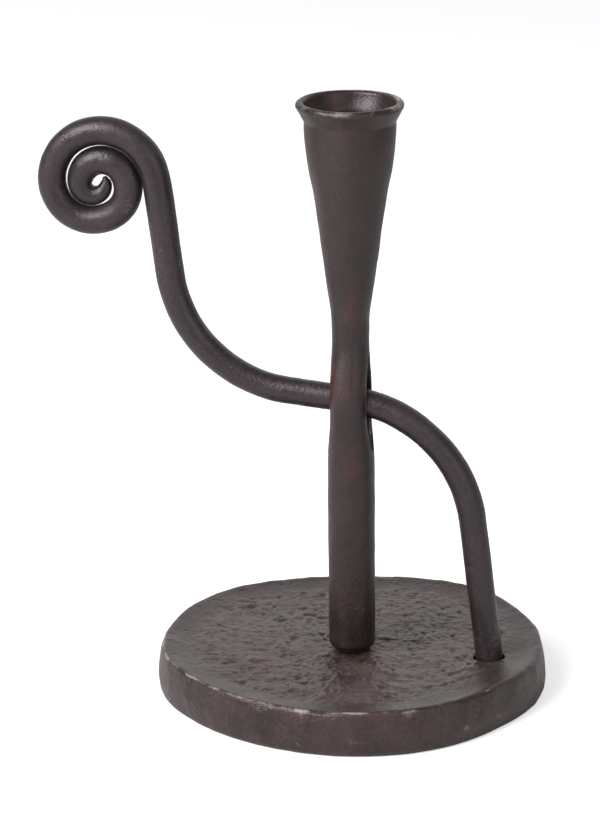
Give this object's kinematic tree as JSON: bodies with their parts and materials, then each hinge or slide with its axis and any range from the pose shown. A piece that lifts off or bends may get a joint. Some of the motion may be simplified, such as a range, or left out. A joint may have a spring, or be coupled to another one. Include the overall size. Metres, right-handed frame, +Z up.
{
  "type": "candlestick",
  "caption": "Forged iron candlestick: hammered round base plate, stem with an eye and a flared candle socket, round bar handle with a tapered scroll.",
  "frame": {"origin": "middle of the upright's flush tenon head, level with the underside of the base plate, on the table", "axes": "+Z up along the stem towards the candle, +X towards the foot of the handle, -X towards its scroll, -Y towards the viewer of the picture"},
  "size_m": [0.1463, 0.1139, 0.1751],
  "materials": {
    "plate_iron": "forged, pitted and worn, with a rubbed lip",
    "upright_iron": "forged, dark brown-black with a soft rubbed sheen",
    "bar_iron": "forged, dark grey-brown, smoothed by handling"
  },
  "bodies": {
    "root": {"base_plate": "plate_iron", "upright": "upright_iron", "scroll_handle": "bar_iron"}
  },
  "joints": []
}
